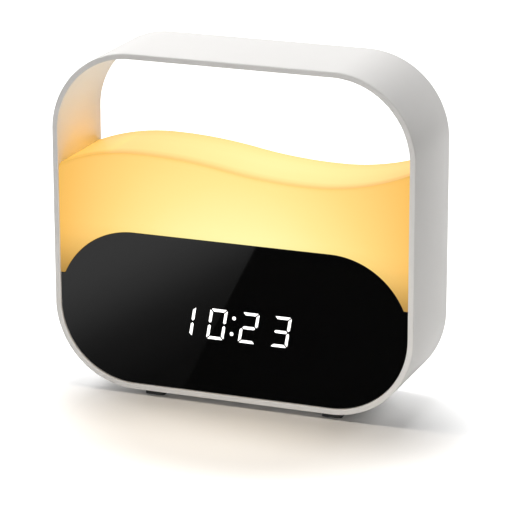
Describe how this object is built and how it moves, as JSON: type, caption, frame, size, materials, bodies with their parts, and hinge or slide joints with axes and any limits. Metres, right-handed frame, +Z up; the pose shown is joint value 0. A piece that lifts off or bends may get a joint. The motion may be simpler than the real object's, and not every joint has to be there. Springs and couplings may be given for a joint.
{
  "type": "sunrise alarm clock",
  "caption": "Bedside clock in a rounded loop frame that is also its handle, with a glowing wave-topped lamp over a gloss black digital display and keys on the back.",
  "frame": {"origin": "centre of the footprint on the surface that the feet stand on", "axes": "+X to the right seen from the front, front faces -Y, +Z up"},
  "size_m": [0.17, 0.0474, 0.1572],
  "materials": {
    "band": "fine satin moulding",
    "foot": "matt",
    "shade": "milky, lit from inside",
    "lens": "polished black acrylic",
    "foam": "closed-cell foam",
    "segments": "clear resin, lit white",
    "black_plastic": "moulded",
    "board": "solder mask",
    "steel": "zinc plated",
    "chassis": "moulded",
    "reflector": "white film",
    "lamp_board": "white solder mask",
    "leds": "phosphor",
    "capacitor": "bare can",
    "switch": "moulded",
    "socket_metal": "nickel plated",
    "basket": "pressed",
    "magnet": "plated",
    "cone": "coated paper",
    "cover": "fine texture",
    "key": "satin",
    "cell": "nickel plated",
    "ribbon": "film",
    "lead": "soft insulation"
  },
  "bodies": {
    "housing": {"frame_band": "band", "foot_front_left": "foot", "foot_front_right": "foot", "foot_back_left": "foot", "foot_back_right": "foot", "lamp_diffuser": "shade", "front_panel": "lens", "panel_tape": "foam", "display_segments": "segments", "display_block": "black_plastic", "display_board": "board", "display_board_screws": "steel", "chassis": "chassis", "chassis_screws": "steel", "reflector_sheet": "reflector", "lamp_board": "lamp_board", "lamp_leds": "leds", "lamp_board_screws": "steel", "main_board": "board", "main_board_screws": "steel", "board_chips": "black_plastic", "board_capacitors": "capacitor", "key_switches": "switch", "usb_shell": "socket_metal", "usb_tongue": "black_plastic", "speaker_basket": "basket", "speaker_magnet": "magnet", "speaker_cone": "cone", "speaker_gasket": "foam", "rear_cover": "cover", "rear_cover_screws": "steel", "coin_cell": "cell", "battery_contacts": "socket_metal", "display_ribbon": "ribbon", "lamp_lead": "lead", "speaker_lead": "lead"},
    "key_hour": {"key_hour": "key", "plunger_hour": "black_plastic"},
    "key_minute": {"key_minute": "key", "plunger_minute": "black_plastic"},
    "key_alarm": {"key_alarm": "key", "plunger_alarm": "black_plastic"},
    "key_light": {"key_light": "key", "plunger_light": "black_plastic"},
    "key_volume": {"key_volume": "key", "plunger_volume": "black_plastic"},
    "key_snooze": {"key_snooze": "key", "plunger_snooze": "black_plastic"},
    "battery_hatch": {"battery_door": "cover", "battery_door_screw": "steel"}
  },
  "joints": [
    {"name": "hour_key_press", "type": "slide", "parent": "housing", "child": "key_hour", "axis": [0, -1, 0], "range_m": [0, 0.00035], "stiffness_N_per_m": 3000, "springref_m": -0.0001},
    {"name": "minute_key_press", "type": "slide", "parent": "housing", "child": "key_minute", "axis": [0, -1, 0], "range_m": [0, 0.00035], "stiffness_N_per_m": 3000, "springref_m": -0.0001},
    {"name": "alarm_key_press", "type": "slide", "parent": "housing", "child": "key_alarm", "axis": [0, -1, 0], "range_m": [0, 0.00035], "stiffness_N_per_m": 3000, "springref_m": -0.0001},
    {"name": "light_key_press", "type": "slide", "parent": "housing", "child": "key_light", "axis": [0, -1, 0], "range_m": [0, 0.00035], "stiffness_N_per_m": 3000, "springref_m": -0.0001},
    {"name": "volume_key_press", "type": "slide", "parent": "housing", "child": "key_volume", "axis": [0, -1, 0], "range_m": [0, 0.00035], "stiffness_N_per_m": 3000, "springref_m": -0.0001},
    {"name": "snooze_key_press", "type": "slide", "parent": "housing", "child": "key_snooze", "axis": [0, -1, 0], "range_m": [0, 0.00035], "stiffness_N_per_m": 3000, "springref_m": -0.0001},
    {"name": "battery_hatch_lift", "type": "slide", "parent": "housing", "child": "battery_hatch", "axis": [0, 1, 0], "range_m": [0, 0.012]}
  ]
}
